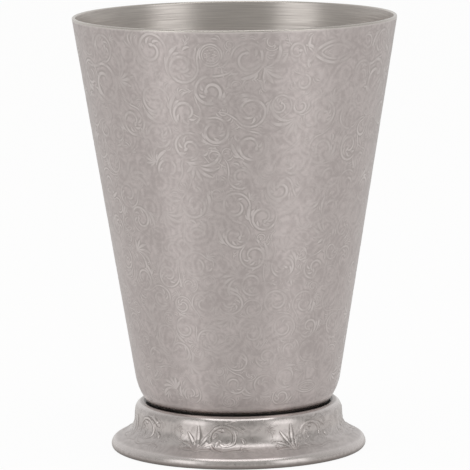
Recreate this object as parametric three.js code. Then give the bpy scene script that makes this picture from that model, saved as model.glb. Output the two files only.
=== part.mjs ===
// Footed julep cup of satin stainless steel: a tapered drawn cup brazed onto a stamped, hollow foot.
// Millimetres, +Z up. The origin is the centre of the ring that the foot stands on.
import * as THREE from 'three';

// Cup: one drawn shell, closed at the bottom and open at the rim
const overallHeight = 115; // table to the top of the rim
const rimDiameter = 85.4; // outside, at the rim
const cupWall = 0.9; // sheet of the cup
const heelRadius = 16; // outside of the curve between the wall and the bottom
const seatDiameter = 22.8; // flat middle of the cup's bottom

// Foot: one stamped sheet of even thickness, bends given by their inside radius
const footSheet = 0.9; // sheet of the foot
const footDiameter = 67.6; // outside, at the widest
const footHeight = 12.6; // table to the top of the shoulder's crest
const hemBend = 0.3; // edge rolled under, onto the table
const hemReach = 3.4; // how far the rolled edge runs in under the foot
const bullnoseBend = 1.1; // rounded rim above the rolled edge
const coveRadius = 4.2; // hollow between the flare and the neck, outside
const neckHeight = 8; // table to the lower end of the straight neck
const neckLean = 3.2; // degrees, narrower towards the top
const shoulderBend = 2.4; // round shoulder above the neck
const shoulderTurn = 32; // degrees that the shoulder turns before its crest
const crestBend = 0.9; // turn from the shoulder down into the dish
const crestAngle = 39; // degrees below level, seen from the heel's centre, where the crest stands
const seatWidth = 4.4; // flat ring of the foot under the cup

// Brazed joint
const brazeGap = 0.3; // between the cup's bottom and the foot's seat and dish
const brazeInset = 0.5; // filler stops this far short of both edges of the seat

// Facets
const turnSteps = 64; // steps round the axis
const arcTolerance = 0.04; // most that a facet cuts inside its arc

const degrees = THREE.MathUtils.degToRad;

// Point at a radius and an angle from a centre, in the half plane of radius and height.
function polar(centre, radius, angle) {
  const x = centre.x + radius * Math.cos(degrees(angle));
  const y = centre.y + radius * Math.sin(degrees(angle));
  return new THREE.Vector2(x, y);
}

// Points along an arc, both ends included, as close together as the tolerance asks.
function arc(centre, radius, from, to) {
  const step = 2 * Math.acos(Math.max(0, 1 - arcTolerance / radius));
  const count = Math.max(2, Math.ceil(Math.abs(degrees(to - from)) / step));
  return Array.from({ length: count + 1 }, (_, i) => polar(centre, radius, from + ((to - from) * i) / count));
}

function angleOf(vector) {
  return THREE.MathUtils.radToDeg(Math.atan2(vector.y, vector.x));
}

// Crest of the shoulder, set round the cup's heel at the braze gap
const crestRadius = crestBend + footSheet;
const dishRadius = heelRadius + brazeGap;
const crestReach = dishRadius + crestRadius;
const heelHeight = footHeight - crestRadius + crestReach * Math.sin(degrees(crestAngle));
const heelCentre = new THREE.Vector2(seatDiameter / 2, heelHeight);
const crestCentre = polar(heelCentre, crestReach, -crestAngle);

// Cup wall: the straight line that meets the rim's rounded edge and the heel's curve smoothly
const lipRadius = cupWall / 2;
const lipCentre = new THREE.Vector2(rimDiameter / 2 - lipRadius, overallHeight - lipRadius);
const heelToLip = lipCentre.clone().sub(heelCentre);
const wallTurn = Math.acos((heelRadius - lipRadius) / heelToLip.length());
const wallNormal = angleOf(heelToLip) - THREE.MathUtils.radToDeg(wallTurn);
const cupUnderside = heelCentre.y - heelRadius;
const cupFloor = cupUnderside + cupWall;

function cupOutline() {
  return [
    new THREE.Vector2(0, cupUnderside),
    ...arc(heelCentre, heelRadius, -90, wallNormal),
    ...arc(lipCentre, lipRadius, wallNormal, 90),
    ...arc(lipCentre, lipRadius, 90, wallNormal + 180),
    ...arc(heelCentre, heelRadius - cupWall, wallNormal, -90),
    new THREE.Vector2(0, cupFloor),
  ];
}

// Foot, from the rolled edge up: each arc's centre, so that every bend runs smoothly into the next
const hemRadius = hemBend + footSheet;
const bullnoseRadius = bullnoseBend + footSheet;
const shoulderRadius = shoulderBend + footSheet;
const hemCentre = new THREE.Vector2(footDiameter / 2 - hemRadius, hemRadius);
const bullnoseCentre = new THREE.Vector2(footDiameter / 2 - bullnoseRadius, hemRadius);
const shoulderCentre = polar(crestCentre, crestRadius - shoulderRadius, shoulderTurn);
const neckTop = polar(shoulderCentre, shoulderRadius, neckLean);
const neckSpread = (neckTop.y - neckHeight) * Math.tan(degrees(neckLean));
const neckBase = new THREE.Vector2(neckTop.x + neckSpread, neckHeight);
const coveCentre = polar(neckBase, coveRadius, neckLean);

// Flare: the straight slope that meets both the bullnose and the cove smoothly
const bullnoseToCove = coveCentre.clone().sub(bullnoseCentre);
const flareTurn = Math.acos((bullnoseRadius + coveRadius) / bullnoseToCove.length());
const flareNormal = angleOf(bullnoseToCove) - THREE.MathUtils.radToDeg(flareTurn);

const hemEdge = footDiameter / 2 - hemReach;
const seatTop = cupUnderside - brazeGap;
const seatHole = seatDiameter / 2 - seatWidth;

// One face of the sheet, from the rolled edge to the seat; inset 0 is the outside, footSheet the inside.
function footFace(inset) {
  return [
    new THREE.Vector2(hemEdge, inset),
    ...arc(hemCentre, hemRadius - inset, -90, 0),
    ...arc(bullnoseCentre, bullnoseRadius - inset, 0, flareNormal),
    ...arc(coveCentre, coveRadius + inset, flareNormal + 180, neckLean + 180),
    ...arc(shoulderCentre, shoulderRadius - inset, neckLean, shoulderTurn),
    ...arc(crestCentre, crestRadius - inset, shoulderTurn, 180 - crestAngle),
    ...arc(heelCentre, dishRadius + inset, -crestAngle, -90),
    new THREE.Vector2(seatHole, seatTop - inset),
  ];
}

function footOutline() {
  const outside = footFace(0);
  return [...outside, ...footFace(footSheet).reverse(), outside[0].clone()];
}

function brazeOutline() {
  const inner = seatHole + brazeInset;
  const outer = seatDiameter / 2 - brazeInset;
  return [
    new THREE.Vector2(inner, seatTop),
    new THREE.Vector2(outer, seatTop),
    new THREE.Vector2(outer, cupUnderside),
    new THREE.Vector2(inner, cupUnderside),
    new THREE.Vector2(inner, seatTop),
  ];
}

// A piece turned about the vertical axis; points that an arc shares with its neighbour are kept once.
function turned(name, outline, material) {
  const points = outline.filter((point, i) => i === 0 || point.distanceTo(outline[i - 1]) > 1e-6);
  const geometry = new THREE.LatheGeometry(points, turnSteps);
  geometry.rotateX(Math.PI / 2);
  const mesh = new THREE.Mesh(geometry, material);
  mesh.name = name;
  return mesh;
}

const etchedSteel = new THREE.MeshStandardMaterial({ color: 0xaba39f, roughness: 0.4, metalness: 1 });
const stampedSteel = new THREE.MeshStandardMaterial({ color: 0xb0aba5, roughness: 0.28, metalness: 1 });
const brazeAlloy = new THREE.MeshStandardMaterial({ color: 0xb9a98a, roughness: 0.45, metalness: 1 });

const julepCup = new THREE.Group();
julepCup.add(turned('cup', cupOutline(), etchedSteel));
julepCup.add(turned('foot', footOutline(), stampedSteel));
julepCup.add(turned('braze_ring', brazeOutline(), brazeAlloy));

export default julepCup;
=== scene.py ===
import math
import random
from functools import partial

import bpy
from mathutils import Matrix, Vector


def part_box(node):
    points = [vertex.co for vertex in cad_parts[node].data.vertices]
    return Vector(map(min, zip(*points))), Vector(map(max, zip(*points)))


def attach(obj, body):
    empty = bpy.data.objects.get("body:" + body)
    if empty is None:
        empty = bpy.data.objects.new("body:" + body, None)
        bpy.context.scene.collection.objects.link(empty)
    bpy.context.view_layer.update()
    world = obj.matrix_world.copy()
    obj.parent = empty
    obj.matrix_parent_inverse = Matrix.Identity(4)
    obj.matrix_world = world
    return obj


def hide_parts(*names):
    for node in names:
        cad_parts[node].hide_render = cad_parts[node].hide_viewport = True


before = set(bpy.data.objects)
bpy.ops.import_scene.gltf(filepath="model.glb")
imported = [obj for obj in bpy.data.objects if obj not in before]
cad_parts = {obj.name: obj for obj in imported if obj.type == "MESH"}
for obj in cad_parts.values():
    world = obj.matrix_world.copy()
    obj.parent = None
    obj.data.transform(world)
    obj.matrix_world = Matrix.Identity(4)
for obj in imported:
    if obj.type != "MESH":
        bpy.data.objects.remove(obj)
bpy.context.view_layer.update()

mm = 0.001  # script sizes are millimetres, Blender's are metres
fullTurn = 2 * math.pi
scene = bpy.context.scene
scene.view_settings.view_transform = "Standard"

# Node settings that come up again and again
times = {"operation": "MULTIPLY"}
timesPlus = {"operation": "MULTIPLY_ADD"}
over = {"operation": "DIVIDE"}
mixColours = {"data_type": "RGBA"}
vectors = {"data_type": "FLOAT_VECTOR"}
softStep = {"interpolation_type": "SMOOTHSTEP"}


def srgb(hexCode):
    channels = [int(hexCode[k:k + 2], 16) / 255 for k in (1, 3, 5)]
    linear = [c / 12.92 if c <= 0.04045 else ((c + 0.055) / 1.055) ** 2.4 for c in channels]
    return (*linear, 1.0)


def setInputs(node, inputs):
    # a value is a number, another node (its first output) or a socket
    for key, value in inputs.items():
        if isinstance(value, bpy.types.Node):
            value = value.outputs[0]
        if isinstance(value, bpy.types.NodeSocket):
            node.id_data.links.new(value, node.inputs[key])
        else:
            node.inputs[key].default_value = value


def addNode(tree, kind, settings=None, inputs=None):
    node = tree.nodes.new(kind)
    for key, value in (settings or {}).items():
        setattr(node, key, value)
    setInputs(node, inputs or {})
    return node


def newMaterial(name):
    material = bpy.data.materials.new(name)
    material.use_nodes = True
    tree = material.node_tree
    return material, partial(addNode, tree), tree.nodes["Principled BSDF"]


def newGeometryTree(name, inputs):
    tree = bpy.data.node_groups.new(name, "GeometryNodeTree")
    for label, kind in [("Geometry", "Geometry"), *inputs]:
        tree.interface.new_socket(label, in_out="INPUT", socket_type="NodeSocket" + kind)
    tree.interface.new_socket("Geometry", in_out="OUTPUT", socket_type="NodeSocketGeometry")
    add = partial(addNode, tree)
    return tree, add, dict(add("NodeGroupInput").outputs.items())


def addObject(name, data):
    thing = bpy.data.objects.new(name, data)
    scene.collection.objects.link(thing)
    return thing


def runTree(name, data, tree, values, sharp):
    # evaluates the tree on the data and leaves a plain mesh, whose edges are crisp where keener than sharp
    piece = addObject(name, data)
    modifier = piece.modifiers.new(tree.name, "NODES")
    modifier.node_group = tree
    for item in tree.interface.items_tree:
        if item.in_out == "INPUT" and item.name in values:
            modifier[item.identifier] = values[item.name]
    graph = bpy.context.evaluated_depsgraph_get()
    plain = bpy.data.meshes.new_from_object(piece.evaluated_get(graph), depsgraph=graph)
    piece.modifiers.remove(modifier)
    piece.data = plain
    plain.name = name
    if plain.materials[0] is None:
        plain.materials.pop(index=0)  # the empty slot that a new grid starts with
    plain.set_sharp_from_angle(angle=math.radians(sharp))
    return piece


# Outlines in (radius, height), millimetres
def polar(centre, radius, angle):
    turn = math.radians(angle)
    return (centre[0] + radius * math.cos(turn), centre[1] + radius * math.sin(turn))


def arc(centre, radius, start, end, steps):
    return [polar(centre, radius, start + (end - start) * k / steps) for k in range(steps + 1)]


def straight(start, end, steps):
    return [
        tuple(a + (b - a) * k / steps for a, b in zip(start, end))
        for k in range(steps + 1)
    ]


def angleOf(start, end):
    return math.degrees(math.atan2(end[1] - start[1], end[0] - start[0]))


# Camera: long lens, a little above the rim, fitted to the outline in the photograph
cameraSettings = {
    "distance": 1113.8,  # from the middle of the cup
    "elevation": 8.19,  # degrees above level
    "lens": 322.5,
    "sensor": 36.0,  # width
    "nearest": 10.0,  # what is closer isn't drawn
    "aim": (-0.42, 0.0, 56.65),  # point in the middle of the frame
    "middle": 57.5,  # half the cup's height
    "roll": -0.57,  # degrees, the photograph leans a little
}


def makeCamera():
    view = cameraSettings
    data = bpy.data.cameras.new("photoCamera")
    data.lens = view["lens"]
    data.sensor_width = view["sensor"]
    data.clip_start = view["nearest"] * mm
    camera = addObject("photoCamera", data)
    tilt = math.radians(view["elevation"])
    reach = view["distance"]
    height = view["middle"] + reach * math.sin(tilt)
    camera.location = Vector((0, -reach * math.cos(tilt), height)) * mm
    sight = Vector(view["aim"]) * mm - camera.location
    camera.rotation_euler = sight.to_track_quat("-Z", "Y").to_euler()
    camera.rotation_euler.rotate_axis("Z", math.radians(view["roll"]))
    scene.camera = camera


# Studio: white floor, white behind, a grey room behind the camera, three soft boxes
studio = {
    "floorRadius": 6000,
    "floorSides": 96,
    "floorColour": "#e9e8e6",
    "floorGlow": 0.95,  # share of the floor that is plain white to the eye
    "floorShine": 0.2,  # and in reflections, where the rest shows the object's shadow
    "fill": 1.2,  # world's light on matt surfaces
    "backdrop": "#ffffff",
    "room": "#acaca9",  # behind the camera and at the sides, as the metal sees it
    "fade": {"From Min": -0.5, "From Max": 1.8},  # from room to backdrop, along the camera's way
    "topBox": {"size": (1100, 560), "place": (0, -300, 1150), "glow": 1.27},
    "leftBox": {"size": (720, 900), "place": (-1010, -850, 435), "glow": 1.02},
    "rightBox": {"size": (720, 900), "place": (1010, -850, 435), "glow": 1.02},
}


def makeFloor():
    sides = studio["floorSides"]
    reach = studio["floorRadius"] * mm
    edge = [(*polar((0, 0), reach, 360 * k / sides), 0) for k in range(sides)]
    mesh = bpy.data.meshes.new("studioFloor")
    mesh.from_pydata(edge, [], [range(sides)])
    floor = addObject("studioFloor", mesh)
    material, add, shader = newMaterial("mattFloorPaper")
    paper = add("ShaderNodeBsdfDiffuse", {}, {"Color": srgb(studio["floorColour"])})
    glow = add("ShaderNodeEmission", {}, {"Color": srgb(studio["backdrop"]), "Strength": 1.0})
    path = add("ShaderNodeLightPath").outputs
    mirrored = add("ShaderNodeMath", times, {0: path["Is Glossy Ray"], 1: studio["floorShine"]})
    share = add("ShaderNodeMath", timesPlus,
                {0: path["Is Camera Ray"], 1: studio["floorGlow"], 2: mirrored})
    mixed = add("ShaderNodeMixShader", {}, {0: share, 1: paper, 2: glow})
    nodes = material.node_tree.nodes
    setInputs(nodes["Material Output"], {"Surface": mixed})
    nodes.remove(shader)
    mesh.materials.append(material)


def makeWorld():
    world = bpy.data.worlds.new("studioRoom")
    world.use_nodes = True
    scene.world = world
    tree = world.node_tree
    tree.nodes.clear()
    add = partial(addNode, tree)
    path = add("ShaderNodeLightPath").outputs
    way = add("ShaderNodeTexCoord").outputs["Generated"]
    ahead = add("ShaderNodeSeparateXYZ", {}, {0: way}).outputs["Y"]
    behind = add("ShaderNodeMapRange", {}, {"Value": ahead, **studio["fade"]})
    room = add("ShaderNodeMix", mixColours,
               {0: behind, 6: srgb(studio["room"]), 7: srgb(studio["backdrop"])})
    white = add("ShaderNodeMix", mixColours,
                {0: path["Is Camera Ray"], 6: room.outputs[2], 7: srgb(studio["backdrop"])})
    seen = add("ShaderNodeMath", {"operation": "MAXIMUM"},
               {0: path["Is Camera Ray"], 1: path["Is Glossy Ray"]})
    level = add("ShaderNodeMapRange", {}, {"Value": seen, "To Min": studio["fill"], "To Max": 1.0})
    sky = add("ShaderNodeBackground", {}, {"Color": white.outputs[2], "Strength": level})
    add("ShaderNodeOutputWorld", {}, {"Surface": sky})


def makeSoftBoxes():
    for name in ("topBox", "leftBox", "rightBox"):
        box = studio[name]
        light = bpy.data.lights.new(name, "AREA")
        light.shape = "RECTANGLE"
        light.size = box["size"][0] * mm
        light.size_y = box["size"][1] * mm
        light.energy = box["glow"] * math.pi * light.size * light.size_y  # glow 1 is white paper
        lamp = addObject(name, light)
        lamp.location = Vector(box["place"]) * mm
        sight = Vector((0, 0, cameraSettings["middle"])) * mm - lamp.location
        lamp.rotation_euler = sight.to_track_quat("-Z", "Y").to_euler()


makeCamera()
makeFloor()
makeWorld()
makeSoftBoxes()
print("stage: camera, floor, world and soft boxes")


# Turned shells: an outline spun round the axis, with an even map of turn and lift for the ornament
outsideZone = 0  # zones of a shell, one material each
edgeZone = 1
insideZone = 2
weldGap = 0.002  # points nearer than this become one, as along the seam and on the axis


def shellTree():
    tree, add, given = newGeometryTree("turnedShell", [
        ("Steps", "Int"), ("Outside", "Material"), ("Edge", "Material"), ("Inside", "Material"),
    ])
    outline = given["Geometry"]
    rows = add("GeometryNodeAttributeDomainSize", {}, {0: outline}).outputs["Point Count"]
    columns = add("ShaderNodeMath", {"operation": "ADD"}, {0: given["Steps"], 1: 1})
    grid = add("GeometryNodeMeshGrid", {}, {"Vertices X": columns, "Vertices Y": rows})
    kinds = {"lift": "FLOAT", "zone": "INT", "flatPlace": "FLOAT_VECTOR", "faceZone": "INT"}
    stored = {
        label: add("GeometryNodeInputNamedAttribute", {"data_type": kind}, {"Name": label})
        for label, kind in kinds.items()
    }
    index = add("GeometryNodeInputIndex")
    row = add("ShaderNodeMath", {"operation": "MODULO"}, {0: index, 1: rows})
    column = add("ShaderNodeMath", over, {0: index, 1: rows})
    column = add("ShaderNodeMath", {"operation": "FLOOR"}, {0: column})
    share = add("ShaderNodeMath", over, {0: column, 1: given["Steps"]})
    turn = add("ShaderNodeMath", times, {0: share, 1: fullTurn})
    position = add("GeometryNodeInputPosition")
    place = add("GeometryNodeSampleIndex", vectors,
                {"Geometry": outline, "Value": position, "Index": row})
    lift = add("GeometryNodeSampleIndex", {},
               {"Geometry": outline, "Value": stored["lift"], "Index": row})
    spun = add("ShaderNodeVectorRotate", {"rotation_type": "Z_AXIS"}, {"Vector": place, "Angle": turn})
    shaped = add("GeometryNodeSetPosition", {}, {"Geometry": grid, "Position": spun})
    flat = add("ShaderNodeCombineXYZ", {}, {"X": share, "Y": lift})
    kept = add("GeometryNodeStoreNamedAttribute", vectors,
               {"Geometry": shaped, "Name": "flatPlace", "Value": flat})
    mapped = add("GeometryNodeStoreNamedAttribute", {"data_type": "FLOAT2", "domain": "CORNER"},
                 {"Geometry": kept, "Name": "turnMap", "Value": stored["flatPlace"]})
    faceRows = add("ShaderNodeMath", {"operation": "SUBTRACT"}, {0: rows, 1: 1})
    faceRow = add("ShaderNodeMath", {"operation": "MODULO"}, {0: index, 1: faceRows})
    zone = add("GeometryNodeSampleIndex", {"data_type": "INT"},
               {"Geometry": outline, "Value": stored["zone"], "Index": faceRow})
    zoned = add("GeometryNodeStoreNamedAttribute", {"data_type": "INT", "domain": "FACE"},
                {"Geometry": mapped, "Name": "faceZone", "Value": zone})
    merged = add("GeometryNodeMergeByDistance", {}, {"Geometry": zoned, "Distance": weldGap * mm})
    cleared = add("GeometryNodeRemoveAttribute", {}, {"Geometry": merged, "Name": "flatPlace"})
    smooth = add("GeometryNodeSetShadeSmooth", {}, {"Geometry": cleared})
    whole = add("GeometryNodeRealizeInstances", {}, {"Geometry": smooth})
    whole = add("GeometryNodeSetMaterial", {}, {"Geometry": whole, "Material": given["Outside"]})
    for number, label in ((edgeZone, "Edge"), (insideZone, "Inside")):
        chosen = add("FunctionNodeCompare", {"data_type": "INT", "operation": "EQUAL"},
                     {2: stored["faceZone"], 3: number})
        whole = add("GeometryNodeSetMaterial", {},
                    {"Geometry": whole, "Selection": chosen, "Material": given[label]})
    add("NodeGroupOutput", {}, {0: whole})
    return tree


samePoint = 1e-4  # points of an outline nearer than this are one
leastRadius = 1.0  # for the lift, which would grow without end towards the axis


def outlineMesh(name, stretches):
    # stretches are (zone, points); lift is arc length over radius, so that turn and lift keep shapes true
    points = []
    zones = []
    for zone, run in stretches:
        for point in run:
            if points and math.dist(points[-1], point) < samePoint:
                zones[-1] = zone
                continue
            points.append(point)
            zones.append(zone)
    lifts = [0.0]
    for before, after in zip(points, points[1:]):
        radius = max((before[0] + after[0]) / 2, leastRadius)
        lifts.append(lifts[-1] + math.dist(before, after) / radius)
    mesh = bpy.data.meshes.new(name)
    edges = [(k, k + 1) for k in range(len(points) - 1)]
    mesh.from_pydata([(r * mm, 0, z * mm) for r, z in points], edges, [])
    mesh.attributes.new("lift", "FLOAT", "POINT").data.foreach_set("value", [v / fullTurn for v in lifts])
    mesh.attributes.new("zone", "INT", "POINT").data.foreach_set("value", zones)
    return mesh, points, lifts


cupSizes = {
    "wall": 0.9,  # sheet
    "heelRadius": 16.0,  # outside of the curve between the wall and the bottom
    "seatRadius": 11.4,  # flat middle of the bottom
    "steps": 256,  # round the axis
    "rows": {"bottom": 6, "heel": 36, "wall": 64, "lip": 14, "wallInside": 32, "heelInside": 24},
}


def cupOutline():
    low, high = (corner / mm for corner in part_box("cup"))
    wall = cupSizes["wall"]
    heel = (cupSizes["seatRadius"], low.z + cupSizes["heelRadius"])
    lipRadius = wall / 2
    lip = (high.x - lipRadius, high.z - lipRadius)
    reach = math.dist(heel, lip)
    outer = cupSizes["heelRadius"]
    inner = outer - wall
    wallNormal = angleOf(heel, lip) - math.degrees(math.acos((outer - lipRadius) / reach))
    wallFoot = polar(heel, outer, wallNormal)
    wallTop = polar(lip, lipRadius, wallNormal)
    wallTopInside = polar(lip, lipRadius, wallNormal + 180)
    wallFootInside = polar(heel, inner, wallNormal)
    rows = cupSizes["rows"]
    return heel, [
        (outsideZone, straight((0, low.z), (heel[0], low.z), rows["bottom"])),
        (outsideZone, arc(heel, outer, -90, wallNormal, rows["heel"])),
        (outsideZone, straight(wallFoot, wallTop, rows["wall"])),
        (edgeZone, arc(lip, lipRadius, wallNormal, wallNormal + 180, rows["lip"])),
        (insideZone, straight(wallTopInside, wallFootInside, rows["wallInside"])),
        (insideZone, arc(heel, inner, wallNormal, -90, rows["heelInside"])),
        (insideZone, straight((heel[0], low.z + wall), (0, low.z + wall), rows["bottom"])),
    ]


footSizes = {
    "sheet": 0.9,
    "hemBend": 0.3,  # inside of the edge rolled under
    "hemReach": 3.4,  # rolled edge, in from the outside
    "bullnoseBend": 1.1,  # rounded rim above it
    "coveRadius": 4.2,  # hollow between the flare and the neck, outside
    "neckHeight": 8.0,
    "neckLean": 3.2,  # degrees
    "shoulderBend": 2.4,
    "shoulderTurn": 32.0,  # degrees
    "crestBend": 0.9,
    "crestAngle": 39.0,  # degrees below level, from the heel's centre
    "creviceTurn": 100.0,  # degrees round the crest to where the crevice begins
    "brazeGap": 0.3,
    "seatWidth": 4.4,
    "steps": 256,  # round the axis
    "rows": {"hem": 3, "hemBend": 8, "flare": 12, "neck": 6, "shoulder": 12, "crest": 6, "crevice": 5,
             "dish": 18, "seat": 3},
}


def footOutline(heel):
    low, high = (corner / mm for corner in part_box("foot"))
    size = footSizes
    rows = size["rows"]
    sheet = size["sheet"]
    lean = size["neckLean"]
    shoulderTurn = size["shoulderTurn"]
    creviceTurn = size["creviceTurn"]
    crestAngle = size["crestAngle"]
    hem = size["hemBend"] + sheet
    bullnose = size["bullnoseBend"] + sheet
    shoulder = size["shoulderBend"] + sheet
    crest = size["crestBend"] + sheet
    dish = cupSizes["heelRadius"] + size["brazeGap"]
    hemCentre = (high.x - hem, low.z + hem)
    bullnoseCentre = (high.x - bullnose, low.z + hem)
    crestCentre = polar(heel, dish + crest, -crestAngle)
    shoulderCentre = polar(crestCentre, crest - shoulder, shoulderTurn)
    neckTop = polar(shoulderCentre, shoulder, lean)
    neckSpread = (neckTop[1] - size["neckHeight"]) * math.tan(math.radians(lean))
    coveCentre = polar((neckTop[0] + neckSpread, size["neckHeight"]), size["coveRadius"], lean)
    spread = math.dist(bullnoseCentre, coveCentre)
    flareTurn = math.degrees(math.acos((bullnose + size["coveRadius"]) / spread))
    flareNormal = angleOf(bullnoseCentre, coveCentre) - flareTurn
    seatTop = heel[1] - dish
    seatHole = heel[0] - size["seatWidth"]
    hemEdge = high.x - size["hemReach"]

    def face(inset, zone, dishZone):
        cove = size["coveRadius"] + inset
        flareFoot = polar(bullnoseCentre, bullnose - inset, flareNormal)
        flareTop = polar(coveCentre, cove, flareNormal + 180)
        neckFoot = polar(coveCentre, cove, lean + 180)
        neckHead = polar(shoulderCentre, shoulder - inset, lean)
        return [
            (zone, straight((hemEdge, low.z + inset), (hemCentre[0], low.z + inset), rows["hem"])),
            (zone, arc(hemCentre, hem - inset, -90, 0, rows["hemBend"])),
            (zone, arc(bullnoseCentre, bullnose - inset, 0, flareNormal, rows["flare"])),
            (zone, straight(flareFoot, flareTop, rows["flare"])),
            (zone, arc(coveCentre, cove, flareNormal + 180, lean + 180, rows["flare"])),
            (zone, straight(neckFoot, neckHead, rows["neck"])),
            (zone, arc(shoulderCentre, shoulder - inset, lean, shoulderTurn, rows["shoulder"])),
            (zone, arc(crestCentre, crest - inset, shoulderTurn, creviceTurn, rows["crest"])),
            (dishZone, arc(crestCentre, crest - inset, creviceTurn, 180 - crestAngle, rows["crevice"])),
            (dishZone, arc(heel, dish + inset, -crestAngle, -90, rows["dish"])),
            (dishZone, straight((heel[0], seatTop - inset), (seatHole, seatTop - inset), rows["seat"])),
        ]

    outside = face(0, outsideZone, edgeZone)
    lining = reversed(face(sheet, insideZone, insideZone))
    inside = [(zone, list(reversed(run))) for zone, run in lining]
    closing = [(insideZone, [inside[-1][1][-1], (hemEdge, low.z)])]
    return outside + inside + closing


# Stainless steel, antiqued and etched matt with the lines left proud:
# warm grey, cloudy, fine grain, soft highlights
cupFinish = {
    "dark": "#c1b8b7",
    "light": "#d5cccb",
    "line": "#d8d0cf",  # tops of the lines, rubbed lighter
    "patinaAndShade": "#bab2b0",  # tarnish left in the corners beside the lines, made darker as painted shade
    "cloud": 15.0,  # tarnish clouds
    "fleck": 1.2,
    "grain": 0.3,  # the etched grain is finer, drawn so that it shows
    "swirl": 7.0,  # cells of faint rings, the shallow etching between the lines
    "swirlPitch": 1.5,  # from ring to ring
    "wear": 11.0,  # patches where the lines are rubbed away
    "wearSeed": 48.5,
    "chip": 3.2,  # gaps that break the lines, and what is left of a line in them
    "chipped": 0.15,
    "groundRoughness": (0.4, 0.5),
    "lineRoughness": (0.3, 0.38),
    "grainDepth": 0.006,
    "stretch": 0.72,  # of the highlights, up the wall, across the grain from the lathe
    # bands round the cup: colour and how far it hides the ground, roughness, height of the middle,
    # and how far above and below that the band is whole and then gone
    "bands": (
        ("#f4ecea", 1.0, 0.24, 8.0, (5.0, 7.8)),  # plain heel, left polished, its colour made lighter as a painted reflection
        ("#2a2522", 0.8, 0.4, 12.0, (0.5, 1.15)),  # painted shade in the crevice above the foot, nearly black
        ("#dcd5d3", 0.8, 0.22, 115.0, (0.4, 1.1)),  # rubbed bright under the rim
    ),
}

# The same steel on the foot, stamped and rubbed smoother: broad soft reflections
footFinish = {
    "dark": "#bdb6b4",
    "light": "#d4cdcb",
    "line": "#dcd5d3",
    # tarnish and painted shade in the corners beside the lines, darker than on the cup
    "patinaAndShade": "#8f8784",
    "cloud": 9.0,
    "fleck": 1.6,
    "grain": 0.3,
    "swirl": 5.0,
    "swirlPitch": 1.1,
    "wear": 9.0,
    "wearSeed": 5.7,
    "chip": 2.4,
    "chipped": 0.5,
    "groundRoughness": (0.25, 0.33),
    "lineRoughness": (0.2, 0.27),
    "grainDepth": 0.004,
    "stretch": 0.45,
    "bands": (
        ("#cfc8c6", 0.25, 0.43, 3.4, (1.0, 2.0)),  # plain flare, matt
        ("#dcd5d3", 0.7, 0.19, 12.6, (0.4, 1.2)),  # shoulder rubbed bright
        ("#dcd5d3", 0.7, 0.27, 2.4, (0.3, 0.9)),  # and the rolled edge
        ("#8f8784", 0.8, 0.3, 12.6, (0.0, 0.24)),  # top of the crest, darkened next to the crevice: painted shade
        ("#9b9390", 1.0, 0.45, 0.0, (0.6, 1.6)),  # darker where it stands: painted contact shade
    ),
}

# Crevice between the cup and the foot, down into the dish: painted shade, nearly black
creviceShadeFinish = {**footFinish, "dark": "#3a3431", "light": "#5a524d", "bands": ()}


# What all the etched finishes share
etching = {
    "detail": {"cloud": 4.0, "fleck": 3.0, "grain": 1.0, "wear": 2.0, "chip": 3.0},  # of each pattern
    "noise": 0.55,  # roughness of the patterns
    "weights": {"cloud": 0.24, "chip": 0.3, "fleck": 0.38, "grain": 0.08},  # of the patterns in the tone
    "swirlWeight": 0.045,
    "swirlBend": 2.0,  # cells that the clouds push the rings along
    # ranges of the patterns' values
    "tone": {"From Min": 0.41, "From Max": 0.59},  # from the dark colour to the light one
    "polish": {"From Min": 0.3, "From Max": 0.7},  # flecks, between the two ends of the roughness
    "wear": {"From Min": 0.38, "From Max": 0.62, "To Min": 0.3},  # from lines rubbed away to whole ones
    "chip": {"From Min": 0.38, "From Max": 0.56},
    "patinaAndShade": {"From Min": 0.08, "From Max": 0.3},  # up the side of a line, from ground to the dark corner of tarnish and painted shade
    "line": {"From Min": 0.4, "From Max": 0.9},  # and from there to the rubbed top
    "bump": 0.6,
}
acrossRings = 0.25  # anisotropic rotation: a quarter turn, so highlights stretch across the lathe's rings


def tones(look):
    return {6: srgb(look["dark"]), 7: srgb(look["light"])}


def finishSteel(add, shader, look, inputs):
    around = add("ShaderNodeTangent", {"direction_type": "RADIAL", "axis": "Z"})
    setInputs(shader, {
        "Metallic": 1.0, "Tangent": around, "Anisotropic": look["stretch"],
        "Anisotropic Rotation": acrossRings, **inputs,
    })


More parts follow.
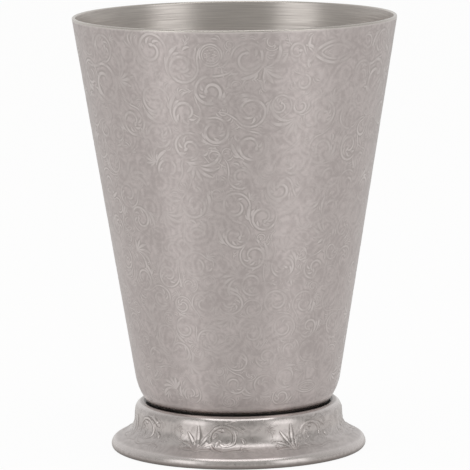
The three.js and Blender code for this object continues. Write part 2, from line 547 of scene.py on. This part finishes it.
def etchedSteel(name, look, raised):
    material, add, shader = newMaterial(name)
    place = add("ShaderNodeTexCoord").outputs["Object"]
    spots = {}
    for spot, detail in etching["detail"].items():
        spots[spot] = add("ShaderNodeTexNoise", {"noise_dimensions": "4D"}, {
            "Vector": place, "W": look["wearSeed"], "Scale": 1 / (look[spot] * mm), "Detail": detail,
            "Roughness": etching["noise"],
        }).outputs["Fac"]
    # rings round scattered centres, bent by the clouds
    bend = etching["swirlBend"] * look["swirl"] * mm
    bent = add("ShaderNodeMath", times, {0: spots["cloud"], 1: bend})
    bent = add("ShaderNodeVectorMath", {"operation": "ADD"}, {0: place, 1: bent})
    cell = add("ShaderNodeTexVoronoi", {}, {"Vector": bent, "Scale": 1 / (look["swirl"] * mm)})
    swirl = add("ShaderNodeMath", times,
                {0: cell.outputs["Distance"], 1: fullTurn * look["swirl"] / look["swirlPitch"]})
    swirl = add("ShaderNodeMath", {"operation": "SINE"}, {0: swirl})
    tone = add("ShaderNodeMath", times, {0: swirl, 1: etching["swirlWeight"]})
    for spot, weight in etching["weights"].items():
        tone = add("ShaderNodeMath", timesPlus, {0: spots[spot], 1: weight, 2: tone})
    tone = add("ShaderNodeMapRange", {}, {"Value": tone, **etching["tone"]})
    colour = add("ShaderNodeMix", mixColours, {0: tone, **tones(look)}).outputs[2]
    low, high = look["groundRoughness"]
    rough = add("ShaderNodeMapRange", {},
                {"Value": spots["fleck"], **etching["polish"], "To Min": low, "To Max": high}).outputs[0]
    height = add("ShaderNodeSeparateXYZ", {}, {0: place}).outputs["Z"]
    for shade, cover, polish, middle, (whole, gone) in look["bands"]:
        away = add("ShaderNodeMath", {"operation": "SUBTRACT"}, {0: height, 1: middle * mm})
        away = add("ShaderNodeMath", {"operation": "ABSOLUTE"}, {0: away})
        share = add("ShaderNodeMapRange", softStep,
                    {"Value": away, "From Min": gone * mm, "From Max": whole * mm})
        rough = add("ShaderNodeMix", {}, {0: share, 2: rough, 3: polish}).outputs[0]
        tint = add("ShaderNodeMath", times, {0: share, 1: cover})
        colour = add("ShaderNodeMix", mixColours, {0: tint, 6: colour, 7: srgb(shade)}).outputs[2]
    if raised:
        # lines keep their colours where they are neither rubbed away nor chipped
        kept = add("ShaderNodeMapRange", softStep, {"Value": spots["wear"], **etching["wear"]})
        unbroken = add("ShaderNodeMapRange", softStep,
                       {"Value": spots["chip"], **etching["chip"], "To Min": look["chipped"]})
        kept = add("ShaderNodeMath", times, {0: kept, 1: unbroken})
        # up the side of a line: ground, then the dark corner of tarnish and painted shade, then the rubbed
        # top
        rise = add("ShaderNodeAttribute", {"attribute_name": "rise"}).outputs["Fac"]
        for part in ("patinaAndShade", "line"):
            share = add("ShaderNodeMapRange", {}, {"Value": rise, **etching[part]})
            share = add("ShaderNodeMath", times, {0: share, 1: kept})
            colour = add("ShaderNodeMix", mixColours,
                         {0: share, 6: colour, 7: srgb(look[part])}).outputs[2]
        low, high = look["lineRoughness"]
        rubbed = add("ShaderNodeMapRange", {},
                     {"Value": spots["fleck"], **etching["polish"], "To Min": low, "To Max": high})
        rough = add("ShaderNodeMix", {}, {0: share, 2: rough, 3: rubbed}).outputs[0]
    bump = add("ShaderNodeBump", {}, {
        "Strength": etching["bump"], "Distance": look["grainDepth"] * mm, "Height": spots["grain"],
    })
    finishSteel(add, shader, look, {"Base Color": colour, "Roughness": rough, "Normal": bump})
    return material


# Stainless steel brushed on the lathe: rings of fine scratches, so highlights stretch down the wall
insideFinish = {
    "dark": "#bdb6b2",
    "light": "#dcd6d1",
    "scratch": 0.22,  # pitch of the brush rings; the real ones are finer
    "run": 0.35,  # about the length of a scratch, in radians round the axis
    "roughness": (0.3, 0.42),
    "stretch": 0.5,  # of the highlights, across the scratches
}

# What the brushed finishes share
brushing = {
    "detail": 3.0,  # of the scratches' pattern
    "noise": 0.65,
    "span": {"From Min": 0.3, "From Max": 0.7},  # of its values, from dark and dull to light and glossy
}


def brushedSteel(name, look):
    material, add, shader = newMaterial(name)
    place = add("ShaderNodeTexCoord").outputs["Object"]
    height = add("ShaderNodeSeparateXYZ", {}, {0: place}).outputs["Z"]
    level = add("ShaderNodeVectorMath", times, {0: place, 1: (1, 1, 0)})
    radius = add("ShaderNodeVectorMath", {"operation": "LENGTH"}, {0: level}).outputs["Value"]
    way = add("ShaderNodeVectorMath", {"operation": "NORMALIZE"}, {0: level})
    along = add("ShaderNodeMath", {"operation": "ADD"}, {0: radius, 1: height})
    along = add("ShaderNodeMath", times, {0: along, 1: 1 / (look["scratch"] * mm)})
    run = add("ShaderNodeVectorMath", {"operation": "SCALE"}, {0: way, "Scale": 1 / look["run"]})
    spin = add("ShaderNodeSeparateXYZ", {}, {0: run}).outputs
    strip = add("ShaderNodeCombineXYZ", {}, {"X": spin["X"], "Y": spin["Y"], "Z": along})
    scratches = add("ShaderNodeTexNoise", {}, {
        "Vector": strip, "Scale": 1.0, "Detail": brushing["detail"], "Roughness": brushing["noise"],
    }).outputs["Fac"]
    share = add("ShaderNodeMapRange", {}, {"Value": scratches, **brushing["span"]})
    colour = add("ShaderNodeMix", mixColours, {0: share, **tones(look)}).outputs[2]
    low, high = look["roughness"]
    rough = add("ShaderNodeMapRange", {},
                {"Value": scratches, **brushing["span"], "To Min": high, "To Max": low})
    finishSteel(add, shader, look, {"Base Color": colour, "Roughness": rough})
    return material


# Stainless steel rim edge, ground round and polished: a thin bright line
edgeFinish = {
    "dark": "#c2bcb7",
    "light": "#dad4ce",
    "scratch": 0.15,
    "run": 0.6,
    "roughness": (0.22, 0.3),
    "stretch": 0.3,
}

# Silver-copper filler, as it ran into the joint: dull, slightly yellow
brazeFinish = {
    "dark": "#9c8f76",
    "light": "#c4b596",
    "fleck": 0.8,
    "detail": 3.0,  # of the flecks
    "noise": 0.55,
    "roughness": (0.35, 0.55),
}


def brazedFiller(name):
    look = brazeFinish
    material, add, shader = newMaterial(name)
    place = add("ShaderNodeTexCoord").outputs["Object"]
    fleck = add("ShaderNodeTexNoise", {}, {
        "Vector": place, "Scale": 1 / (look["fleck"] * mm), "Detail": look["detail"],
        "Roughness": look["noise"],
    }).outputs["Fac"]
    colour = add("ShaderNodeMix", mixColours, {0: fleck, **tones(look)}).outputs[2]
    low, high = look["roughness"]
    rough = add("ShaderNodeMapRange", {}, {"Value": fleck, "To Min": low, "To Max": high})
    setInputs(shader, {"Base Color": colour, "Metallic": 1.0, "Roughness": rough})
    return material


# Ornament: strokes of (x, y, half width), each motif drawn in a circle of radius 1
def leaf(x, y, heading, length, width, curl=0.0, steps=3):
    stroke = []
    for k in range(steps + 1):
        share = k / steps
        stroke.append((x, y, width * math.sin(math.pi * (0.07 + 0.83 * share ** 1.6))))
        way = math.radians(heading + curl * (share + 0.5 / steps))
        x += length / steps * math.cos(way)
        y += length / steps * math.sin(way)
    return stroke


def dot(x, y, width):
    return [(x - width, y, width * 0.4), (x, y, width), (x + width, y, width * 0.4)]


def ring(radius, width, count):
    # a closed stroke ends on its first point
    stroke = [(*polar((0, 0), radius, 360 * k / count), width) for k in range(count)]
    return [*stroke, stroke[0]]


def spiral(radius, start, end, hold, close, width, steps):
    # keeps its radius for the first degrees, then winds in
    stroke = []
    for k in range(steps + 1):
        share = k / steps
        angle = start + (end - start) * share
        wound = max(0.0, abs(angle - start) - hold) / 360
        place = polar((0, 0), radius * math.exp(-close * wound), angle)
        stroke.append((*place, width * (0.35 + 0.65 * math.sin(math.pi * (0.12 + 0.72 * share)))))
    return stroke


def stalk(neighbour):
    # runs along the neighbour's edge to where the two circles touch
    centre = (1 + neighbour, 0)
    sweep = min(80.0, math.degrees(1.1 / neighbour))
    return [(*polar(centre, neighbour, 180 + sweep * k / 3), 0.08 - 0.016 * k) for k in (3, 2, 1)]


def volute(draw, neighbour):
    # a scroll that winds in to a bud, with lobes inside and leaves that close the circle
    band = spiral(0.9, 0, draw.uniform(430, 540), draw.uniform(120, 160), draw.uniform(1.0, 1.3), 0.1, 16)
    lobes = [leaf(*polar((0, 0), 0.7, angle), angle + 112, 0.42, 0.13, 66) for angle in (70, 120, 170)]
    leaves = [leaf(*polar((0, 0), 0.9, 208), 296, 1.25, 0.14, 60, 4)]
    leaves.append(leaf(*polar((0, 0), 0.74, 232), 312, 0.66, 0.11, 66))
    for angle in (228, 262, 296):
        leaves.append(leaf(*polar((0, 0), 0.88, angle), angle + 20, 0.46, 0.14, 80))
    scroll = [stalk(neighbour) + band, dot(*band[-1][:2], 0.13)]
    return {"scrolls": scroll, "lobes": lobes, "leaves": leaves}


def plume(draw, neighbour):
    # half a palmette: leaves from one root, all bent to the same side
    side = draw.choice((-1, 1))
    leaves = []
    for k in range(6):
        heading = 180 + side * (18 * k - 34)
        leaves.append(leaf(0.92, 0, heading, 1.85 - 0.2 * k, 0.13, -side * (110 - 24 * k), 4))
    return {"plumes": leaves}


def curl(draw, neighbour):
    band = spiral(0.86, 0, draw.uniform(340, 430), draw.uniform(90, 130), 1.3, 0.14, 10)
    back = leaf(*polar((0, 0), 0.86, 215), 300, 1.15, 0.15, 70)
    return {"curls": [stalk(neighbour) + band, dot(*band[-1][:2], 0.2), back]}


def roundel(draw, neighbour):
    # a double ring filled with seeds
    seeds = [dot(*polar((0, 0), 0.46, angle), 0.07) for angle in range(0, 360, 40)]
    seeds += [dot(*polar((0, 0), 0.2, angle), 0.07) for angle in range(20, 380, 90)]
    return {"flowers": [ring(0.92, 0.08, 14), ring(0.72, 0.05, 14), *seeds]}


def almond(draw, neighbour):
    # long rings within rings, pointed at both ends, with leaves laid back at one of them
    turns = [fullTurn * k / 20 for k in range(20)]
    outer = [(0.8 * math.cos(a), 0.36 * math.sin(a) * (1 - 0.3 * math.cos(a) ** 2)) for a in turns]
    strokes = []
    for share in (1, 0.72, 0.4):
        points = [(x * share, y * share ** 1.3, 0.05 * share) for x, y in outer]
        strokes.append([*points, points[0]])
    for side in (1, -1):
        strokes.append(leaf(-0.8, side * 0.02, 180 - side * 74, 0.5, 0.06, side * 80))
        strokes.append(leaf(-0.9, side * 0.04, 180 - side * 30, 0.5, 0.06, -side * 90))
    return {"flowers": strokes}


def tuft(draw, neighbour):
    # blades that fan out from the neighbour's edge
    blades = [leaf(0.85, 0, 180, 1.75, 0.15)]
    for lean, length in ((26, 1.55), (52, 1.3), (74, 0.95)):
        for side in (1, -1):
            blades.append(leaf(0.85, 0, 180 - side * lean * 0.7, length, 0.13, -side * lean * 0.8))
    return {"sprigs": blades}


def sprig(draw, neighbour):
    # a bent stem with a few leaves
    bend = draw.choice((-35, 35))
    leaves = [leaf(0.9, 0, 180, 1.75, 0.07, bend)]
    for along, side in ((0.5, 1), (0.2, -1), (-0.1, 1), (-0.35, -1)):
        across = -math.sin(math.radians(bend)) * (0.9 - along) ** 2 * 0.32
        leaves.append(leaf(along, across, 180 - side * 48, 0.66, 0.14, side * 30))
    return {"sprigs": leaves}


def comma(draw, neighbour):
    # two leaves that lie along the neighbour's edge
    return {"fillers": [leaf(0.2, -0.85, 125, 1.9, 0.28, -70), leaf(-0.3, -0.8, 150, 1.4, 0.22, -80)]}


def bare(draw, neighbour):
    # a place that stays plain
    return {}


motifs = {make.__name__: make for make in (
    volute, plume, curl, roundel, almond, tuft, sprig, comma, bare,
)}

cupOrnament = {
    "repeats": 3,  # round the cup
    "turn": -60.0,  # degrees, from the front of the cup to the edge of the first repeat
    "plainRim": 1.2,  # bare band under the rim
    "plainHeel": 15.0,  # height on the heel where the ornament ends
    "height": 0.055,  # of a line, over its half width
    "skirt": 3.0,  # half widths to where a line fades into the ground
    "breadth": 1.0,  # of all lines
    "bold": 1.2,  # and of the placed motifs
    "thinnest": 0.004,  # half width of the finest line, in radians of the turn
    "overlap": 1.15,  # how far a motif grows into its neighbours
    # circles in the field, largest first
    "sizes": (0.1, 0.086, 0.072, 0.058, 0.046, 0.036, 0.028, 0.021, 0.015),
    "tries": 5000,
    "seed": 7,
    # motifs put in first: kind, place across a repeat and up the field, size, turn in degrees, winding
    "placed": (
        ("roundel", 0.429, 0.958, 0.075, 0, 1), ("volute", 0.427, 0.88, 0.112, 75, 1),
        ("volute", 0.432, 0.79, 0.105, 110, -1), ("volute", 0.427, 0.73, 0.06, 200, 1),
        ("volute", 0.515, 0.68, 0.095, 160, 1), ("curl", 0.687, 0.962, 0.06, 0, 1),
        ("curl", 0.711, 0.895, 0.06, 100, -1), ("curl", 0.71, 0.843, 0.06, 100, 1),
        ("almond", 0.82, 0.957, 0.19, 0, 1), ("volute", 0.947, 0.9, 0.1, 0, 1),
        ("volute", 0.03, 0.885, 0.14, 120, -1), ("curl", 0.99, 0.775, 0.07, 90, 1),
        ("volute", 0.005, 0.7, 0.09, 90, -1),
        ("volute", 0.652, 0.645, 0.11, 0, 1), ("almond", 0.842, 0.062, 0.16, 0, 1),
        ("plume", 0.17, 0.09, 0.12, -60, 1),
    ),
}

footOrnament = {
    "repeats": 7,
    "turn": -34.8,
    "low": 4.0,  # heights on the foot between which the ornament runs
    "high": 11.0,
    "height": 0.3,
    "skirt": 2.2,
    "breadth": 0.7,
    "bold": 1.35,
    "thinnest": 0.0042,
    "overlap": 0.98,
    "sizes": (0.13, 0.1, 0.08, 0.062, 0.048, 0.036, 0.027),
    "tries": 900,
    "seed": 3,
    "placed": (
        ("tuft", 0.25, 0.45, 0.155, -90, 1), ("volute", 0.535, 0.5, 0.165, -60, -1),
        ("bare", 0.86, 0.5, 0.13, 0, 1),
    ),
}

# Motifs that fill the field: the least size, in radians of the turn, their kinds and how often each comes
fieldMotifs = (
    (0.056, ("volute", "plume"), (4, 1)),
    (0.03, ("curl", "sprig", "plume"), (2, 2, 1)),
)

# Cross-section of a line, in half widths: a flat top, steep sides, and a skirt that fades into the shell
lineSection = {
    "flat": 0.5,  # half of the top
    "lip": 0.04,  # height of the corner
    "cornerRise": 0.3,  # of the corner, between 0 at the skirt's edge and 1 on top
    "sink": 0.06,  # depth of the skirt's edge
    "spare": 0.8,  # most of a bend's radius that the skirt takes up
}
leastArea = 1e-9  # keeps the bend of a straight stroke finite


def bendRadius(*stretch):
    # of the circle through three points of a stroke
    start, middle, end = (point[:2] for point in stretch)
    sides = math.dist(start, middle) * math.dist(middle, end) * math.dist(end, start)
    twiceArea = (middle[0] - start[0]) * (end[1] - start[1]) - (end[0] - start[0]) * (middle[1] - start[1])
    return sides / max(2 * abs(twiceArea), leastArea)


def fillField(settings, low, high):
    # circles fill a repeat; each grows to its nearest neighbour, and its motif springs from there
    draw = random.Random(settings["seed"])
    width = fullTurn / settings["repeats"]
    circles = []
    drawing = {}

    def stamp(kind, x, y, size, turn, spin, neighbour, bold):
        circles.append((x, y, size, spin))
        for sheet, strokes in motifs[kind](draw, neighbour).items():
            for stroke in strokes:
                points = []
                for along, across, breadth in stroke:
                    place = Vector((along, across * spin)) @ Matrix.Rotation(-turn, 2)
                    breadth = max(size * breadth * bold * settings["breadth"], settings["thinnest"])
                    points.append((x + size * place.x, y + size * place.y, breadth))
                # a line is no broader than its bends let its skirt be
                bends = [bendRadius(*points[k - 1:k + 2]) for k in range(1, len(points) - 1)]
                if points[0][:2] == points[-1][:2]:
                    ends = [bendRadius(points[-2], *points[:2])] * 2
                else:
                    ends = [bends[0], bends[-1]]
                bends = [ends[0], *bends, ends[1]]
                points = [
                    (across, up, min(breadth, lineSection["spare"] * bend / settings["skirt"]))
                    for (across, up, breadth), bend in zip(points, bends)
                ]
                drawing.setdefault(sheet, []).append(points)

    for kind, across, up, size, turn, spin in settings["placed"]:
        x = across * width
        y = low + (high - low) * up
        stamp(kind, x, y, size, math.radians(turn), spin, 1.0, settings["bold"])
    for least in settings["sizes"]:
        for attempt in range(settings["tries"]):
            x = draw.uniform(0, width)
            y = draw.uniform(low, high)
            gaps = []
            for other in circles:
                aside = (other[0] - x + width / 2) % width - width / 2  # the short way round
                gaps.append((math.hypot(aside, other[1] - y) - other[2], aside, other))
            gap, aside, nearest = min(gaps)
            room = min(gap, y - low, high - y)
            if room < least:
                continue
            size = min(room, settings["sizes"][0]) * settings["overlap"]
            turn = math.atan2(nearest[1] - y, aside)
            kind = "comma"
            for limit, kinds, shares in fieldMotifs:
                if size > limit:
                    kind = draw.choices(kinds, shares)[0]
                    break
            stamp(kind, x, y, size, turn, -nearest[3], nearest[2] / size, 1.0)
    print("stage: ornament drawn,", len(circles), "motifs in a repeat")
    return drawing


def strokeCurve(name, strokes):
    curve = bpy.data.curves.new(name, "CURVE")
    curve.dimensions = "3D"
    for points in strokes:
        closed = points[0][:2] == points[-1][:2]
        if closed:
            points = points[:-1]
        spline = curve.splines.new("POLY")
        spline.points.add(len(points) - 1)
        spline.use_cyclic_u = closed
        for point, (x, y, width) in zip(spline.points, points):
            point.co = (x, y, 0, 1)
            point.radius = width
    return addObject(name, curve)


def sectionCurve(settings):
    # a section's y runs down into the shell; its point radius tells the skirt's edge, 0, from the top, 1
    size = lineSection
    top = (size["flat"], -settings["height"], 1.0)
    corner = (1.0, -size["lip"], size["cornerRise"])
    right = [top, corner, (settings["skirt"], size["sink"], 0.0)]
    left = [(-x, y, rise) for x, y, rise in reversed(right)]
    return strokeCurve("lineSection", [[*left, *right, left[0]]])


lineRelief = {
    "fineness": 2,  # steps between two points of a stroke
    "least": 0.012,  # added to a line's height, so that a worn one still shows
    "stand": (0.7, 1.3),  # random share of that, so that strokes that cross don't share a face
    "standSeed": 5,
    "wear": {"From Min": 0.36, "From Max": 0.56, "To Min": 0.4},  # from low lines to whole ones
    "seam": 1e-5,  # turns left free at both ends of the map
    "sharp": 12.0,  # degrees
}


def reliefTree():
    tree, add, given = newGeometryTree("etchedRelief", [
        ("Drawing", "Object"), ("Section", "Object"), ("Shell", "Object"), ("Repeats", "Int"),
        ("Start", "Float"), ("Least", "Float"), ("Wear", "Float"), ("Wear Seed", "Float"),
        ("Finish", "Material"),
    ])
    for label in ("Drawing", "Section", "Shell"):
        given[label] = add("GeometryNodeObjectInfo", {}, {"Object": given[label]}).outputs["Geometry"]
    pitch = add("ShaderNodeMath", over, {0: fullTurn, 1: given["Repeats"]})
    step = add("ShaderNodeCombineXYZ", {}, {"X": pitch})
    first = add("ShaderNodeCombineXYZ", {}, {"X": given["Start"]})
    starts = add("GeometryNodeMeshLine", {},
                 {"Count": given["Repeats"], "Start Location": first, "Offset": step})
    tiles = add("GeometryNodeInstanceOnPoints", {}, {"Points": starts, "Instance": given["Drawing"]})
    strokes = add("GeometryNodeRealizeInstances", {}, {"Geometry": tiles})
    rounded = add("GeometryNodeCurveSplineType", {"spline_type": "CATMULL_ROM"}, {"Curve": strokes})
    rounded = add("GeometryNodeSetSplineResolution", {},
                  {"Geometry": rounded, "Resolution": lineRelief["fineness"]})
    upright = add("GeometryNodeSetCurveNormal", {"mode": "Z_UP"}, {"Curve": rounded})
    low, high = lineRelief["stand"]
    stand = add("FunctionNodeRandomValue", {}, {2: low, 3: high, "Seed": lineRelief["standSeed"]})
    upright = add("GeometryNodeStoreNamedAttribute", {"domain": "CURVE"},
                  {"Geometry": upright, "Name": "stand", "Value": stand.outputs[1]})

    # the rise goes along with the section, so that the finish can tell the top of a line from its corners
    radius = add("GeometryNodeInputRadius")
    section = add("GeometryNodeStoreNamedAttribute", {},
                  {"Geometry": given["Section"], "Name": "rise", "Value": radius})
    drawn = add("GeometryNodeCurveToMesh", {},
                {"Curve": upright, "Profile Curve": section, "Scale": radius, "Fill Caps": True})

    # flat drawing onto the shell: turn and lift give the place, the drawing's height goes along the normal
    facing = add("GeometryNodeInputNormal")
    shell = add("GeometryNodeStoreNamedAttribute", vectors,
                {"Geometry": given["Shell"], "Name": "facing", "Value": facing})
    position = add("GeometryNodeInputPosition")
    where = add("ShaderNodeSeparateXYZ", {}, {0: position}).outputs
    across = add("ShaderNodeMath", over, {0: where["X"], 1: fullTurn})
    across = add("ShaderNodeMath", {"operation": "FRACT"}, {0: across})
    seam = lineRelief["seam"]
    across = add("ShaderNodeClamp", {}, {"Value": across, "Min": seam, "Max": 1 - seam})
    along = add("ShaderNodeMath", over, {0: where["Y"], 1: fullTurn})
    spot = add("ShaderNodeCombineXYZ", {}, {"X": across, "Y": along})
    turnMap = add("GeometryNodeInputNamedAttribute", vectors, {"Name": "turnMap"})
    normal = add("GeometryNodeInputNamedAttribute", vectors, {"Name": "facing"})
    skin, outward = (
        add("GeometryNodeSampleUVSurface", vectors,
            {"Mesh": shell, "Value": value, "UV Map": turnMap, "Sample UV": spot})
        for value in (position, normal)
    )
    level = add("ShaderNodeVectorMath", times, {0: skin, 1: (1, 1, 0)})
    radius = add("ShaderNodeVectorMath", {"operation": "LENGTH"}, {0: level}).outputs["Value"]
    worn = add("ShaderNodeTexNoise", {"noise_dimensions": "4D"}, {
        "Vector": skin, "W": given["Wear Seed"], "Scale": given["Wear"],
        "Detail": etching["detail"]["wear"], "Roughness": etching["noise"],
    }).outputs["Fac"]
    kept = add("ShaderNodeMapRange", softStep, {"Value": worn, **lineRelief["wear"]})
    proud = add("ShaderNodeMath", times, {0: where["Z"], 1: radius})
    proud = add("ShaderNodeMath", times, {0: proud, 1: kept})
    upper = add("ShaderNodeMath", {"operation": "GREATER_THAN"}, {0: where["Z"], 1: 0.0})
    stand = add("GeometryNodeInputNamedAttribute", {}, {"Name": "stand"})
    least = add("ShaderNodeMath", times, {0: stand, 1: given["Least"]})
    proud = add("ShaderNodeMath", timesPlus, {0: upper, 1: least, 2: proud})
    raised = add("ShaderNodeVectorMath", {"operation": "SCALE"}, {0: outward, "Scale": proud})
    onSkin = add("ShaderNodeVectorMath", {"operation": "ADD"}, {0: skin, 1: raised})
    wrapped = add("GeometryNodeSetPosition", {}, {"Geometry": drawn, "Position": onSkin})
    smooth = add("GeometryNodeSetShadeSmooth", {}, {"Geometry": wrapped})
    whole = add("GeometryNodeRealizeInstances", {}, {"Geometry": smooth})
    done = add("GeometryNodeSetMaterial", {}, {"Geometry": whole, "Material": given["Finish"]})
    add("NodeGroupOutput", {}, {0: done})
    return tree


def liftAt(points, lifts, height):
    # lift of the outside of a shell at a height, going up from its first point
    for before, after, start, end in zip(points, points[1:], lifts, lifts[1:]):
        if before[1] <= height < after[1]:
            return start + (end - start) * (height - before[1]) / (after[1] - before[1])
    raise ValueError("no such height on this outline")


frontTurn = 270.0  # degrees round the axis from +X to the side that the camera sees
shellSharp = 40.0  # degrees


def makeRelief(prefix, tree, shell, settings, low, high, look):
    drawing = fillField(settings, low, high)
    finish = etchedSteel(f"{prefix}EtchedSteelLines", look, True)
    section = sectionCurve(settings)
    pieces = []
    for sheet in sorted(drawing):
        name = f"{prefix}_{sheet}"
        strokes = strokeCurve(f"{name}_strokes", drawing[sheet])
        piece = runTree(name, bpy.data.meshes.new(name), tree, {
            "Drawing": strokes, "Section": section, "Shell": shell, "Repeats": settings["repeats"],
            "Start": math.radians(frontTurn + settings["turn"]), "Least": lineRelief["least"] * mm,
            "Wear": 1 / (look["wear"] * mm), "Wear Seed": look["wearSeed"], "Finish": finish,
        }, lineRelief["sharp"])
        pieces.append(piece)
        bpy.data.objects.remove(strokes)
    bpy.data.objects.remove(section)
    return pieces


def makeCup():
    spun = shellTree()
    relief = reliefTree()
    cupGround = etchedSteel("etchedStainlessSteel", cupFinish, False)
    footGround = etchedSteel("stampedStainlessSteel", footFinish, False)
    rim = brushedSteel("polishedStainlessEdge", edgeFinish)
    inside = brushedSteel("brushedStainlessSteel", insideFinish)
    # the foot's crevice and dish, nearly black: painted shade
    crevice = etchedSteel("creviceSteelPaintedShade", creviceShadeFinish, False)
    print("stage: trees and finishes")

    def makeShell(prefix, stretches, sizes, outside, edge, ornament, heights, look):
        # a shell, and the lines between two heights on it
        name = f"{prefix}_shell"
        outline, points, lifts = outlineMesh(name, stretches)
        shell = runTree(name, outline, spun, {
            "Steps": sizes["steps"], "Outside": outside, "Edge": edge, "Inside": inside,
        }, shellSharp)
        low, high = (liftAt(points, lifts, height) for height in heights)
        lines = makeRelief(prefix, relief, shell, ornament, low, high, look)
        print("stage:", prefix)
        return shell, lines

    heel, stretches = cupOutline()
    heights = (cupOrnament["plainHeel"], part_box("cup")[1].z / mm - cupOrnament["plainRim"])
    cup, cupLines = makeShell("cup", stretches, cupSizes, cupGround, rim, cupOrnament, heights, cupFinish)
    stretches = footOutline(heel)
    heights = (footOrnament["low"], footOrnament["high"])
    foot, footLines = makeShell(
        "foot", stretches, footSizes, footGround, crevice, footOrnament, heights, footFinish)

    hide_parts("cup")
    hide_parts("foot")
    for slot, pieces in (("etched_steel", [cup, *cupLines]), ("stamped_steel", [foot, *footLines])):
        for piece in pieces:
            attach(piece, "root")
            print(piece.name, sum(len(face.vertices) - 2 for face in piece.data.polygons), "triangles")
    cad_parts["braze_ring"].material_slots[0].material = brazedFiller("silverCopperBraze")


makeCup()
